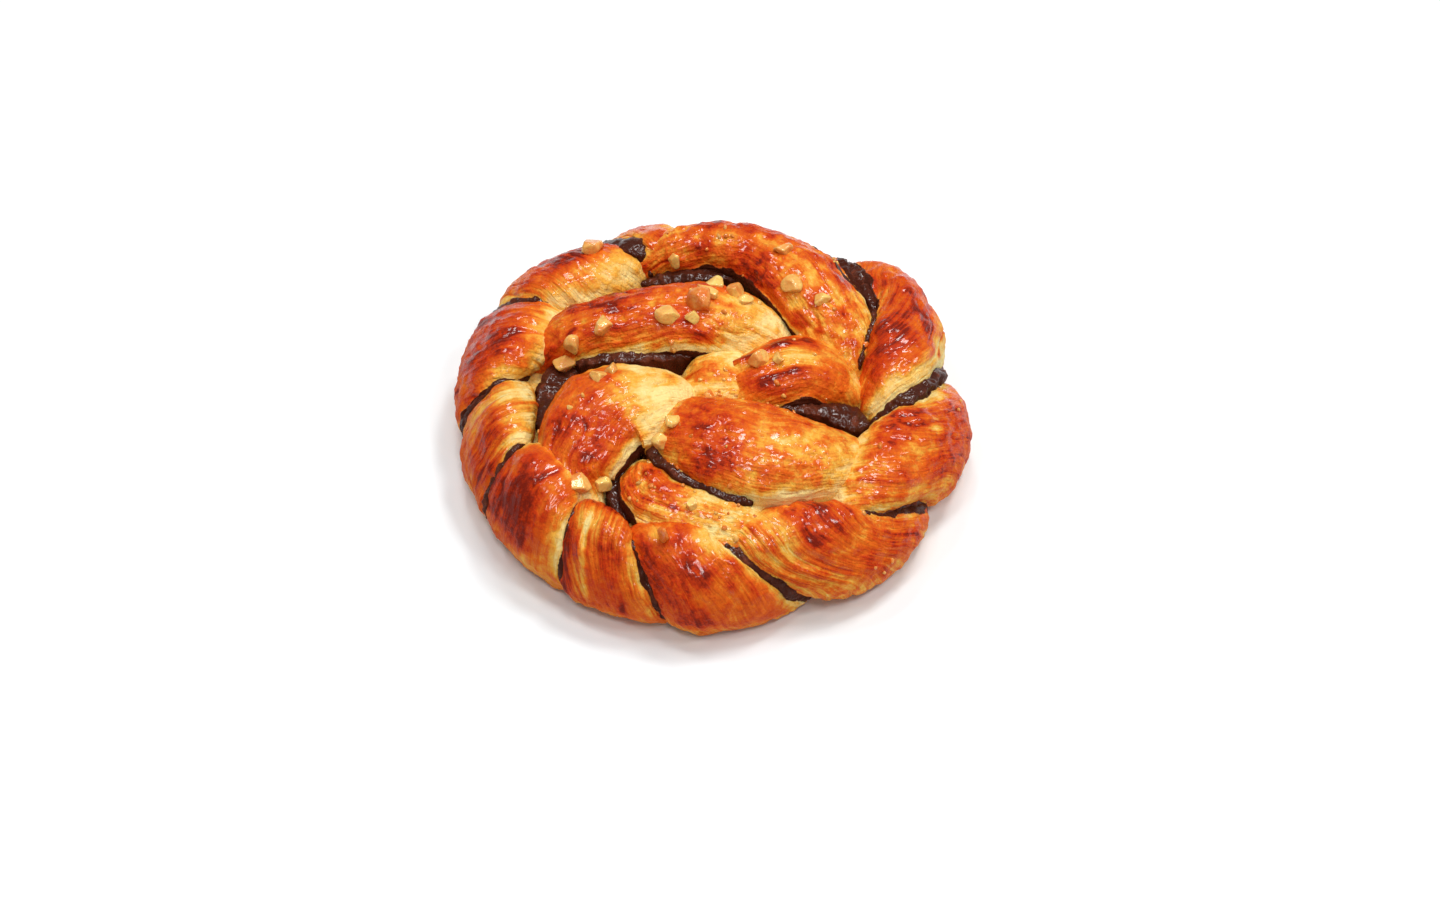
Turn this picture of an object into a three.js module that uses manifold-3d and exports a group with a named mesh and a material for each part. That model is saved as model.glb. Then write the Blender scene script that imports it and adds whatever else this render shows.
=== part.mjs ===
// Chocolate knot bun: a rope of laminated dough, twisted round a rolled-in sheet of chocolate
// filling, coiled in two turns and baked. It has two pieces: the dough, with the chopped nuts baked
// onto it, and the filling, which runs through the rope and shows in the grooves of the twist.
// Millimetres, +Z up, the flat underside on z = 0, +Y the back.

import * as THREE from "three";
import { mergeVertices } from "three/addons/utils/BufferGeometryUtils.js";
import Module from "manifold-3d";

const CORE_RADIUS = 46;        // centre line of the outer rope, in plan
const CORE_HEIGHT = 9;         // height of that centre line
const VEIN_RADIUS = 1.6;       // chocolate vein along the rope's centre line
const CLEARANCE = 0.3;         // gap between the filling and the dough round it
const LOBE_OVERLAP = 1.02;     // a lobe's width over the distance between its two grooves
const RING_DEPTH = 9;          // how deep an outer lobe reaches below its grooves
const INNER_DEPTH = 11;        // the same for a lobe of the inner turn
const LOBE_ROWS = 9;           // sections along a lobe
const LOBE_TOP = 8;            // steps over the top of a section, from side to side
const LOBE_UNDER = 4;          // steps round its buried underside
const FIN_ROWS = 5;            // sections along a fin of the filling
const FIN_SHOULDER = 0.8;      // a fin's sides stand at most this far below its ridge
const SECTION_POWER = 2.2;     // squareness of a lobe's section
const CENTRE = [-0.723, -1.488];  // middle of the finished outline, moved to the origin

// Grooves of the outer turn, anticlockwise from the back. Each runs from the valley beside the
// inner turn over the crest and the rim down to the foot.
// bearing: degrees from +X; radius and height: mm; width: the filling's; rise: above the groove
const GROOVES = [
  { bearing: [108.5, 114.5, 121.5, 125], radius: [38, 45, 53.5, 51.5], height: [13, 19.5, 11, 0],
    width: [3.6, 5, 3.4, 1.4], rise: [2.6, 2.6, 1.6, -1] },
  { bearing: [136, 148, 151, 153], radius: [38, 48, 56.5, 54], height: [12, 19, 12, 0],
    width: [1.6, 2.6, 3.6, 2.6], rise: [1, 2.4, 2.6, 0.2] },
  { bearing: [166, 178, 183, 186], radius: [41, 47, 55.5, 54], height: [12, 19.5, 12, 0],
    width: [2.2, 3, 3.4, 2.2], rise: [1.8, 2.2, 2.2, -0.2] },
  { bearing: [196, 203.5, 207, 210], radius: [43, 48, 56.5, 54], height: [12, 20, 10, 0],
    width: [2.4, 2.8, 3, 1.8], rise: [2, 2.4, 2, -0.4] },
  { bearing: [219, 229, 233, 235], radius: [41, 48, 56, 53.5], height: [12, 19, 10, 0],
    width: [1.6, 2.8, 2.6, 1.4], rise: [0.2, 2, 1.8, -0.8] },
  { bearing: [241, 249.5, 258, 262], radius: [42, 48, 54.8, 52.5], height: [12, 18, 10, 0],
    width: [1.2, 1.4, 1.6, 1.4], rise: [-0.6, 1, 1, -0.6] },
  { bearing: [264.5, 275, 288, 297.5], radius: [38, 45.5, 50, 49.5], height: [12.5, 17.5, 9.5, 0],
    width: [1.2, 2.8, 4.6, 3], rise: [-1, 1.8, 2.8, 1] },
  { bearing: [303, 313, 331, 337], radius: [36, 48, 51, 50], height: [13, 18, 9, 0],
    width: [1.2, 2, 3.6, 3], rise: [-1.2, 1.4, 2.8, 1] },
  { bearing: [340, 354.5, 371, 378], radius: [35, 44, 50, 49.5], height: [13, 19, 10.5, 0],
    width: [2.6, 4, 5.6, 3.4], rise: [1.4, 2.2, 4.4, 1] },
  { bearing: [373.5, 398, 412.5, 419], radius: [34.8, 45, 49, 51], height: [13, 21, 18.5, 0],
    width: [2, 4.4, 5, 2], rise: [1.4, 1.8, 2, -0.6] },
  { bearing: [405, 420, 434, 440], radius: [33, 42, 48, 49], height: [10, 17, 11, 0],
    width: [1.2, 1.6, 2, 1.8], rise: [-1, 0.8, 1.6, -0.6] },
  { bearing: [448, 456, 462, 466], radius: [36, 44.5, 53, 51], height: [10, 19, 12, 0],
    width: [1.2, 1.8, 2, 1.8], rise: [-1, 1.4, 1.8, -0.6] },
];
// How far each outer lobe puffs out over its two grooves at those four places, in the same order
const PUFF = [
  [3.8, 5.6, 6.4, 4],
  [4, 5.6, 6, 3.8],
  [3.4, 4.8, 3.4, 2.4],
  [4.4, 6.2, 3.6, 2.6],
  [3.4, 4.5, 4, 2.6],
  [3.8, 5.4, 7.2, 5],
  [4.2, 6, 10.8, 7.6],
  [4.4, 6.4, 11, 7.4],
  [4, 7.2, 11, 7.6],
  [3, 3.4, 2, 1.8],
  [3, 4, 3.6, 2.8],
  [3.6, 5.5, 4.6, 3],
];

// Lobes of the inner turn: a free centre line, the half-widths along it and the puff above it
const INNER_LOBES = [
  { path: [[-21, 38, 12], [-10, 40.6, 18.5], [0.5, 40.8, 21], [10.8, 36.3, 23], [20.6, 26.6, 24],
    [29, 15.7, 20], [32, 5, 12]],
    half: [5, 5.4, 6, 6.6, 9.2, 9, 5.5], puff: 7, ends: [0.15, 0.2] },
  { path: [[-41, 12, 11], [-30, 15.2, 19.5], [-13, 16.2, 23], [2, 15.8, 23.5], [18.5, 13.2, 18]],
    half: [7, 8.6, 9.6, 9.8, 8.5], puff: 7, ends: [0.3, 0.3] },
  { path: [[-4.5, -3, 20], [-15.5, -8.4, 23], [-24.7, -11.4, 23.5], [-29.3, -19, 21.5],
    [-31, -27, 17], [-26.2, -38.5, 9]],
    half: [8, 10.8, 13, 11.4, 9, 6.5], puff: 6.5, ends: [0.3, 0.3] },
  { path: [[-14.5, -19, 16], [-14, -28, 18], [-6.5, -36, 17.5], [4.5, -40.5, 15], [16.5, -44.5, 10]],
    half: [5.5, 7.6, 8.2, 7.8, 6], puff: 5, ends: [0.3, 0.3] },
  { path: [[-14, -14.5, 18], [-2.5, -20.4, 23], [10.3, -24.6, 24], [24, -23.6, 21], [37, -20, 13]],
    half: [6, 11, 11.5, 10, 7.5], puff: 8, ends: [0.3, 0.3] },
  { path: [[1, -1.5, 17], [12, 0.6, 21.5], [23, 2.6, 22], [33, 3.5, 14]],
    half: [7, 9, 9, 6.5], puff: 6, ends: [0.3, 0.3] },
  { path: [[-9, 1.5, 17], [1, 1, 22], [11, 2.6, 20]],
    half: [7.5, 8.5, 7.5], puff: 4, ends: [0.35, 0.35] },
];

// Fins of the filling between the inner lobes: the top edge and the width along it
const INNER_FINS = [
  { path: [[-17.5, 34, 17], [-10.6, 34, 19.5], [-3, 33.6, 21], [4, 32.2, 22], [10.5, 28, 22],
    [16.5, 22.4, 21.5], [21.5, 15.5, 20]],
    width: [2.6, 3.8, 4.2, 4, 3.6, 3.2, 2.6] },
  { path: [[-31.5, 8, 18.5], [-26.5, 7, 20], [-21.3, 6.2, 20.8], [-13.3, 5.8, 21.4], [-5.5, 5.4, 21]],
    width: [3.8, 4, 3.6, 3.4, 2.4] },
  { path: [[-30.5, 8.6, 17.6], [-35.4, 5, 17], [-37.6, -1.5, 16.8], [-37.4, -8, 16],
    [-35.4, -14.5, 15]],
    width: [5, 7.4, 7, 6, 3.5] },
  { path: [[-13.5, -14, 21.5], [-17.4, -18, 21], [-20.8, -23.4, 19.5], [-21.8, -29, 17.5],
    [-19, -35.5, 15]],
    width: [3, 4, 4.2, 4, 3] },
  { path: [[-15, -18, 21.5], [-10.5, -24.6, 22], [-3, -30.4, 22.4], [4, -33.4, 21.6],
    [11, -34.6, 20]],
    width: [3, 3.8, 3.6, 3, 1.8] },
  { path: [[4, -9.2, 21], [14, -10, 22.2], [22.8, -9.4, 22.4], [29, -8.6, 21.4], [33.5, -10, 18]],
    width: [2.2, 3.4, 4.8, 6, 4.4] },
];
const FIN_FOOT = 8;            // the inner fins reach down to this height

// The vein leaves the outer rope and follows the inner turn, through the foot of every fin
const INNER_VEIN = [[45, 14, 8.6], [19, 19, 9], [8, 31, 9], [-10, 35, 9], [-25, 25, 9],
  [-28.5, 10, 9], [-36, 0, 9], [-30, -14, 9], [-20.5, -24, 9], [-8, -25, 9], [2, -31, 9],
  [12, -18, 9], [16, -8.4, 9], [24, -8, 9]];

// Profile of the soft inside of the coil that carries the lobes: radius, height
const CRUMB = [[0, -3], [50, -3], [50, 9], [48.5, 14.2], [45, 17], [36, 14.2],
  [28, 15.6], [0, 17.6]];

// Chopped nuts on the crust: x, y, z, length, width, height and turn in degrees
const NUTS = [
  [-28.3, 39.1, 24.4, 4.4, 3.8, 3.6, 20],
  [-8.9, 36.4, 23.1, 4, 3.2, 3, 70],
  [-2.4, 16.6, 31.6, 5.2, 4.8, 5.6, 10],
  [0.4, 22.9, 29.3, 4.4, 3.6, 2.6, 120],
  [5, 20.8, 29.3, 3.6, 3.2, 3.2, 45],
  [-10.2, 12.4, 30.4, 5, 3.8, 3.2, 160],
  [-4.8, 11.6, 30.5, 2.8, 2.6, 2.6, 30],
  [-25.2, 11.9, 27.5, 4.6, 3.8, 2.6, 80],
  [16, 32.1, 31.1, 3.8, 3.4, 3.2, 15],
  [17.9, 22.2, 30.1, 5, 4, 3.2, 100],
  [24.6, 18.3, 29.1, 3.8, 3.2, 2.6, 60],
  [-31.8, 8.9, 24.2, 3.2, 3.4, 4.4, 140],
  [-33.9, 7.6, 19.2, 4.6, 4.2, 4.4, 65],
  [10.5, 1, 27.8, 4.2, 3.6, 3.8, 40],
  [14.5, 0.8, 28.5, 2.8, 2.6, 2.4, 90],
  [-11.6, -21.4, 26.3, 3.4, 3, 3, 30],
  [-29.1, -30.4, 21.9, 5, 4.4, 4.4, 25],
  [-24.4, -28.6, 19.9, 3.2, 3.2, 4, 70],
  [-10.8, -46.3, 23.2, 2.2, 2, 5, 5],
  [-7.3, -26.2, 29, 3.6, 2.8, 1.8, 50],
  [-25.6, -5.2, 29.2, 3.6, 3, 2.4, 20],
  [-22.6, -2.8, 28.9, 3.4, 2.8, 2.6, 110],
  [-0.7, -6.6, 23.8, 3.2, 2.6, 2.2, 75],
  [7.6, 18.4, 29, 3.4, 2.6, 2.2, 20],
  [-4.7, -37.6, 22.1, 2.6, 2.2, 2, 15],
  [2, 53.4, 10, 4, 3, 3.6, 15],
];

const wasm = await Module();
wasm.setup();

const radians = (degrees) => degrees * Math.PI / 180;

// A value between equally spaced ones
function along(values, v) {
  const s = Math.min(Math.max(v, 0), 1) * (values.length - 1);
  const i = Math.min(Math.floor(s), values.length - 2);
  return values[i] + (values[i + 1] - values[i]) * (s - i);
}

// A Catmull-Rom curve at equal steps between its points, its ends carried on straight
function curveAt(points, v) {
  const s = Math.min(Math.max(v, 0), 1) * (points.length - 1);
  const i = Math.min(Math.floor(s), points.length - 2);
  const f = s - i;
  const before = i > 0 ? points[i - 1] : points[0].clone().multiplyScalar(2).sub(points[1]);
  const last = points[points.length - 1];
  const after = i + 2 < points.length ? points[i + 2]
    : last.clone().multiplyScalar(2).sub(points[points.length - 2]);
  return points[i].clone().multiplyScalar(2)
    .add(points[i + 1].clone().sub(before).multiplyScalar(f))
    .add(before.clone().multiplyScalar(2).addScaledVector(points[i], -5)
      .addScaledVector(points[i + 1], 4).sub(after).multiplyScalar(f * f))
    .add(points[i].clone().multiplyScalar(3).addScaledVector(points[i + 1], -3)
      .sub(before).add(after).multiplyScalar(f * f * f))
    .multiplyScalar(0.5);
}

function vectors(points) {
  return points.map((p) => new THREE.Vector3(...p));
}

// Direction of a curve, from two nearby points of it
function directionAt(curve, v) {
  const step = 0.02;
  return curve(Math.min(v + step, 1)).sub(curve(Math.max(v - step, 0))).normalize();
}

function polar(bearing, radius, height) {
  const a = radians(bearing);
  return new THREE.Vector3(radius * Math.cos(a), radius * Math.sin(a), height);
}

function groovePoints(groove) {
  return groove.bearing.map((b, i) => polar(b, groove.radius[i], groove.height[i]));
}

// Factor that rounds off both ends of a lobe like quarter circles
function endTaper(v, ends) {
  const start = Math.max(0, 1 - v / ends[0]);
  const finish = Math.max(0, 1 - (1 - v) / ends[1]);
  return Math.sqrt(1 - start * start) * Math.sqrt(1 - finish * finish);
}

// Closed body through rows of points, with a single point at each end
function closedBody(rows, first, last) {
  const count = rows[0].length;
  const points = [first, ...rows.flat(), last];
  const index = [];
  for (let j = 0; j < count; j += 1) {
    index.push(0, 1 + (j + 1) % count, 1 + j);
  }
  for (let i = 0; i < rows.length - 1; i += 1) {
    for (let j = 0; j < count; j += 1) {
      const a = 1 + i * count + j;
      const b = 1 + i * count + (j + 1) % count;
      index.push(a, b, a + count);
      index.push(b, b + count, a + count);
    }
  }
  const base = 1 + (rows.length - 1) * count;
  for (let j = 0; j < count; j += 1) {
    index.push(points.length - 1, base + j, base + (j + 1) % count);
  }
  const geometry = new THREE.BufferGeometry().setFromPoints(points);
  geometry.setIndex(index);
  return geometry;
}

function signedVolume(geometry) {
  const position = geometry.attributes.position;
  const index = geometry.index.array;
  const [a, b, c] = [new THREE.Vector3(), new THREE.Vector3(), new THREE.Vector3()];
  let volume = 0;
  for (let i = 0; i < index.length; i += 3) {
    a.fromBufferAttribute(position, index[i]);
    b.fromBufferAttribute(position, index[i + 1]);
    c.fromBufferAttribute(position, index[i + 2]);
    volume += a.dot(b.cross(c)) / 6;
  }
  return volume;
}

// Solid of a closed geometry, its faces turned outwards and points closer than weld made one
function solid(source, weld = 1e-4) {
  source.deleteAttribute("normal");
  source.deleteAttribute("uv");
  const geometry = mergeVertices(source, weld);
  const triangles = Array.from(geometry.index.array);
  if (signedVolume(geometry) < 0) {
    triangles.reverse();
  }
  return new wasm.Manifold(new wasm.Mesh({
    numProp: 3,
    vertProperties: new Float32Array(geometry.attributes.position.array),
    triVerts: new Uint32Array(triangles),
  }));
}

function geometryOf(body) {
  const { vertProperties, triVerts } = body.getMesh();
  const geometry = new THREE.BufferGeometry();
  geometry.setAttribute("position", new THREE.BufferAttribute(vertProperties, 3));
  geometry.setIndex(new THREE.BufferAttribute(triVerts, 1));
  return geometry;
}

function union(solids) {
  return solids.reduce((sum, next) => sum.add(next));
}

// Superellipse section at a point: across, outwards, puff above and depth below
function sectionAt(centre, across, outwards, puff, depth) {
  const row = [];
  for (let j = 0; j < LOBE_TOP + LOBE_UNDER; j += 1) {
    const t = Math.PI * (j < LOBE_TOP ? j / LOBE_TOP : 1 + (j - LOBE_TOP) / LOBE_UNDER);
    const x = Math.sign(Math.cos(t)) * Math.abs(Math.cos(t)) ** (2 / SECTION_POWER);
    const y = Math.sin(t);
    row.push(centre.clone().addScaledVector(across, x)
      .addScaledVector(outwards, y * (y > 0 ? puff : depth)));
  }
  return row;
}

// Lobe of the outer turn, spanned between two neighbouring grooves
function ringLobe(grooveA, grooveB, puff) {
  const a = groovePoints(grooveA);
  const b = groovePoints(grooveB);
  const middle = (v) => curveAt(a, v).add(curveAt(b, v)).multiplyScalar(0.5);
  const rows = [];
  for (let i = 1; i < LOBE_ROWS; i += 1) {
    const v = i / LOBE_ROWS;
    const taper = endTaper(v, [0.22, 0.1]);
    const across = curveAt(b, v).sub(curveAt(a, v)).multiplyScalar(0.5 * LOBE_OVERLAP);
    const outwards = across.clone().cross(directionAt(middle, v)).normalize();
    if (outwards.dot(middle(v).sub(corePoint(middle(v)))) < 0) {
      outwards.negate();
    }
    rows.push(sectionAt(middle(v), across.multiplyScalar(taper), outwards,
      along(puff, v) * taper, RING_DEPTH * taper));
  }
  return solid(closedBody(rows, middle(0), middle(1)));
}

// Nearest point of the outer rope's centre line, in plan
function corePoint(point) {
  return polar(Math.atan2(point.y, point.x) * 180 / Math.PI, CORE_RADIUS, CORE_HEIGHT);
}

// Lobe of the inner turn, along its own centre line
function innerLobe(lobe) {
  const points = vectors(lobe.path);
  const middle = (v) => curveAt(points, v);
  const up = new THREE.Vector3(0, 0, 1);
  const rows = [];
  for (let i = 1; i < LOBE_ROWS; i += 1) {
    const v = i / LOBE_ROWS;
    const taper = endTaper(v, lobe.ends);
    const forward = directionAt(middle, v);
    const side = forward.clone().cross(up).normalize();
    const outwards = side.clone().cross(forward).normalize();
    rows.push(sectionAt(middle(v), side.multiplyScalar(along(lobe.half, v) * taper), outwards,
      lobe.puff * taper, INNER_DEPTH * taper));
  }
  return solid(closedBody(rows, middle(0), middle(1)));
}

// Thin sheet of filling between a top edge and a foot, its top rounded; grow makes it larger
function fin(top, foot, width, grow) {
  const rows = [];
  for (let i = 0; i <= FIN_ROWS; i += 1) {
    const v = i / FIN_ROWS;
    const edge = top(v);
    const inward = foot(v).sub(edge);
    const reach = inward.length();
    inward.normalize();
    const side = directionAt(top, v).cross(inward).normalize();
    const half = width(v) / 2 + grow;
    const place = (across, depth) => edge.clone().addScaledVector(side, across)
      .addScaledVector(inward, depth);
    const shoulder = Math.min(half * 0.5, FIN_SHOULDER);
    rows.push([place(-half, shoulder), place(0, -grow), place(half, shoulder),
      place(half, reach), place(-half, reach)]);
  }
  if (grow > 0) {
    lengthen(rows, grow);
  }
  const middle = (row) => row.reduce((sum, p) => sum.add(p), new THREE.Vector3())
    .divideScalar(row.length);
  return solid(closedBody(rows, middle(rows[0]), middle(rows[rows.length - 1])));
}

// Moves the first and last rows out along the run of the sheet
function lengthen(rows, distance) {
  const last = rows.length - 1;
  const start = rows[0].map((p, j) => p.clone().sub(rows[1][j]).normalize());
  const finish = rows[last].map((p, j) => p.clone().sub(rows[last - 1][j]).normalize());
  rows[0].forEach((p, j) => p.addScaledVector(start[j], distance));
  rows[last].forEach((p, j) => p.addScaledVector(finish[j], distance));
}

const GROOVE_END = 0.9;        // the filling stops above the floor, at this part of a groove

function grooveFin(groove, grow) {
  const points = groovePoints(groove);
  const mean = groove.bearing.reduce((sum, b) => sum + b, 0) / groove.bearing.length;
  const place = (v) => 0.04 + v * (GROOVE_END - 0.04);
  const foot = (v) => polar((along(groove.bearing, place(v)) + mean) / 2, CORE_RADIUS, CORE_HEIGHT);
  const top = (v) => {
    const edge = curveAt(points, place(v));
    const outward = edge.clone().sub(foot(v)).normalize();
    return edge.addScaledVector(outward, along(groove.rise, place(v)));
  };
  return fin(top, foot, (v) => along(groove.width, place(v)), grow);
}

function innerFin(shape, grow) {
  const points = vectors(shape.path);
  const top = (v) => curveAt(points, v);
  const foot = (v) => top(v).setZ(FIN_FOOT);
  return fin(top, foot, (v) => along(shape.width, v), grow);
}

function innerVein(grow) {
  const points = vectors(INNER_VEIN);
  const middle = (v) => curveAt(points, v);
  const radius = VEIN_RADIUS + grow;
  const up = new THREE.Vector3(0, 0, 1);
  const rows = [];
  const steps = 16;
  for (let i = 0; i <= steps; i += 1) {
    const v = i / steps;
    const side = directionAt(middle, v).cross(up).normalize();
    const row = [];
    for (let j = 0; j < 5; j += 1) {
      const t = 2 * Math.PI * j / 5;
      row.push(middle(v).addScaledVector(side, radius * Math.cos(t))
        .addScaledVector(up, radius * Math.sin(t)));
    }
    rows.push(row);
  }
  return solid(closedBody(rows, middle(0), middle(1)));
}

function outerVein(grow) {
  const ring = new THREE.TorusGeometry(CORE_RADIUS, VEIN_RADIUS + grow, 5, 26);
  ring.translate(0, 0, CORE_HEIGHT);
  return solid(ring);
}

function filling(grow) {
  return union([
    outerVein(grow),
    innerVein(grow),
    ...GROOVES.map((groove) => grooveFin(groove, grow)),
    ...INNER_FINS.map((shape) => innerFin(shape, grow)),
  ]);
}

// Chip of nut: an uneven twenty-sided solid
function nut([x, y, z, length, width, height, turn], number) {
  const chip = new THREE.IcosahedronGeometry(1, 0);
  const position = chip.attributes.position;
  const corner = new THREE.Vector3();
  for (let i = 0; i < position.count; i += 1) {
    corner.fromBufferAttribute(position, i);
    const unevenness = 1 + 0.16 * Math.sin(5.1 * corner.x + 7.3 * corner.y + 9.7 * corner.z + number);
    corner.multiplyScalar(unevenness);
    position.setXYZ(i, corner.x * length / 2, corner.y * width / 2, corner.z * height / 2);
  }
  chip.rotateZ(radians(turn));
  chip.translate(x, y, z);
  return solid(chip);
}

function dough() {
  const crumb = new THREE.LatheGeometry(CRUMB.map(([r, z]) => new THREE.Vector2(r, z)), 30);
  crumb.rotateX(Math.PI / 2);
  const lobes = GROOVES.map((groove, i) => {
    const next = GROOVES[(i + 1) % GROOVES.length];
    const turn = i + 1 === GROOVES.length ? 360 : 0;
    const end = { ...next, bearing: next.bearing.map((b) => b + turn) };
    return ringLobe(groove, end, PUFF[i]);
  });
  const above = new THREE.BoxGeometry(200, 200, 100);
  above.translate(0, 0, 50);
  return withoutPockets(union([solid(crumb), ...lobes, ...INNER_LOBES.map(innerLobe)])
    .intersect(solid(above))
    .add(union(NUTS.map(nut)))
    .subtract(filling(CLEARANCE)));
}

// The body without the tiny pockets that are shut in where lobes meet
function withoutPockets(body) {
  return solid(geometryOf(body), 1e-3).decompose()
    .reduce((best, next) => (next.volume() > best.volume() ? next : best));
}

function piece(name, body, material) {
  const geometry = geometryOf(body);
  geometry.translate(-CENTRE[0], -CENTRE[1], 0);
  const mesh = new THREE.Mesh(geometry, material);
  mesh.name = name;
  return mesh;
}

const crust = new THREE.MeshStandardMaterial({ color: 0xd07a35, roughness: 0.35, metalness: 0 });
const chocolate = new THREE.MeshStandardMaterial({ color: 0x3c2119, roughness: 0.4, metalness: 0 });

const bun = new THREE.Group();
bun.add(piece("dough", dough(), crust));
bun.add(piece("chocolate_filling", filling(0), chocolate));

export default bun;
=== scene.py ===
"""Chocolate knot bun: a rope of laminated dough, twisted round chocolate filling and coiled in two turns."""

import math
from collections import namedtuple
from functools import partial

import bpy
import numpy as np
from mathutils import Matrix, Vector


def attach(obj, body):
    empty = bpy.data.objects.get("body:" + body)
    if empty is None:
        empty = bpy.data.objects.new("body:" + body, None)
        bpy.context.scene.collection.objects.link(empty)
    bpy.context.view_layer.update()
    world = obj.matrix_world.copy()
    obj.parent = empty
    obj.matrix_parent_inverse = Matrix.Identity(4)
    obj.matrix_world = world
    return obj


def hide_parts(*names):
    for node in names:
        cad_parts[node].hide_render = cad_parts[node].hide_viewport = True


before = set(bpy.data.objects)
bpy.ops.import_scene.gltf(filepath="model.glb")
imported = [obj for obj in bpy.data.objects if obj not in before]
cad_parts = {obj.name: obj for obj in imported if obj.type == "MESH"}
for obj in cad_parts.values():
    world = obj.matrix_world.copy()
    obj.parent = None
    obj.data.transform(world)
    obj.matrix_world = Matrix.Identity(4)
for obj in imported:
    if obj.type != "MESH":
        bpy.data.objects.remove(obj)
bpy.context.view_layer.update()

bl_info = {
    "name": "Chocolate Knot Bun",
    "version": (1, 0, 0),
    "blender": (4, 5, 0),
    "location": "View3D > Sidebar > Bun",
    "description": "Builds the lobes, filling, nuts and stage of a chocolate knot bun",
    "category": "Add Mesh",
}

MM = 0.001
CORE_RADIUS = 46.0        # centre line of the outer rope, in plan, mm
CORE_HEIGHT = 9.0
LOBE_OVERLAP = 1.02       # a lobe's width over the distance between its two grooves
RING_DEPTH = 9.0          # how deep an outer lobe reaches below its grooves
INNER_DEPTH = 11.0
SECTION_POWER = 2.2       # squareness of a lobe's section
RING_ENDS = (0.22, 0.1)   # rounded parts of an outer lobe's length
GROOVE_START = 0.04       # the filling runs along this part of a groove
GROOVE_END = 0.9
FIN_FOOT = 8.0            # the inner fins reach down to this height
CENTRE = np.array([-0.723, -1.488, 0.0])  # middle of the outline, moved to the origin
BASE_EDGE = 50.0          # radius where the flat underside gives way to the lobes
MAP_SIZE = 132            # squares of 1 mm along a side of the height maps
MAP_SPREAD = 5            # squares each way in the mean of the second map
LATTICE_SHIFT = 500.5     # keeps the noise's lattice counts above zero
BLISTER_REACH = 0.2       # squared radius of a blister in lattice cells
LOBE_ROWS = (60, 400)     # fewest and most rows along a lobe
LOBE_TOP = (40, 150)      # and across its top
LOBE_UNDER = 16           # columns across its underside
END_CROWDING = 0.12       # how far the rows crowd towards a lobe's ends
FLOOR_GAP = 0.15          # lowest height of a lobe over the floor
RIM_LIFT = 1.6            # how much higher a lobe ends above the flat underside
FLOOR_SOFTNESS = 0.35
RIBBON_STEP = 0.3         # mm between the rows of the filling
RIBBON_ROWS = 30          # at the least
RIDGE = 0.9               # greatest radius in mm of the filling's rounded shoulders
DOME_POINTS = 18
LEG_POINTS = 8
SOLE_POINTS = 4
FILLING_FLOOR = 0.6
CORE_GRID = (180, 300)    # points along the inside's profile and round it
NUT_PLANES = 9
NUT_WEAR = 48             # the higher, the sharper the edges of a chip
NUT_SCALE = 1.06

# Grooves of the outer turn, anticlockwise from the back, each from the valley beside the inner turn
# over the crest and the rim to the foot: bearing, radius, height, filling's width, filling's rise
GROOVES = [
    ((108.5, 114.5, 121.5, 125), (38, 45, 53.5, 51.5), (13, 19.5, 11, 0), (3.6, 6, 4.4, 1.6),
     (3, 4.6, 3, -1)),
    ((136, 148, 151, 153), (38, 48, 56.5, 54), (12, 19, 12, 0), (1.6, 2.6, 3.6, 2.6),
     (1, 2.4, 2.6, .2)),
    ((167.2, 179.2, 184.2, 187.2), (42.6, 47.4, 55.5, 54), (12, 19.5, 12, 0), (2, 2.4, 2.4, 1.6),
     (1.8, 2.2, 2, -.2)),
    ((196.8, 204.3, 207.8, 210.8), (43.6, 48, 56.5, 54), (12, 20, 10, 0), (2, 2.2, 2.2, 1.4),
     (2, 2.4, 1.8, -.4)),
    ((220, 230, 234, 236), (41, 48, 56, 53.5), (12, 19, 10, 0), (1.4, 2.2, 2, 1.2), (.2, 2, 1.6, -.8)),
    ((240.2, 248.7, 257.2, 261.2), (42, 48, 54.8, 52.5), (12, 18, 10, 0), (1.4, 2, 2.2, 1.6),
     (.4, 1.9, 1.6, -.4)),
    ((264.5, 275, 288, 297.5), (38, 45.5, 50, 49.5), (12.5, 17.5, 9.5, 0), (1.4, 4, 5.8, 3.6),
     (.4, 3.2, 3.8, 1)),
    ((303, 313, 331, 337), (36, 48, 51, 50), (13, 18, 9, 0), (1.2, 2, 3.6, 3), (-1.2, 1.4, 2.8, 1)),
    ((340, 354.5, 371, 378), (35, 44, 50, 49.5), (13, 19, 10.5, 0), (3, 5, 6, 3.6), (2.2, 4.4, 5, 1)),
    ((366, 387, 410.5, 419), (34.6, 41.8, 49.6, 51), (13, 21, 19, 0), (2.4, 2.4, 4.2, 2), (2.4, 2, .6, -.8)),
    ((405, 420, 434, 440), (33, 42, 48, 49), (10, 17, 11, 0), (1.2, 1.6, 2, 1.8), (-1, .8, 1.6, -.6)),
    ((448, 456, 462, 466), (36, 44.5, 53, 51), (10, 19, 12, 0), (1.2, 1.8, 2, 1.8), (-1, 1.4, 1.8, -.6)),
]

# puff: height over the grooves, for an outer lobe at the four places of them;
# margins: width in mm of the cut, layered edge at either groove; brown: overall browning;
# pleats, mottle: strength; patches: along, across, length, width, browning added;
# stains: side, from, to, width in mm of the chocolate that smears over the edge of a groove;
# ends: rounded parts of the length; path, half: an inner lobe's centre line and its half-widths
Lobe = namedtuple("Lobe", "puff margins brown pleats mottle patches stains ends path half",
                  defaults=(RING_ENDS, None, None))

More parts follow.
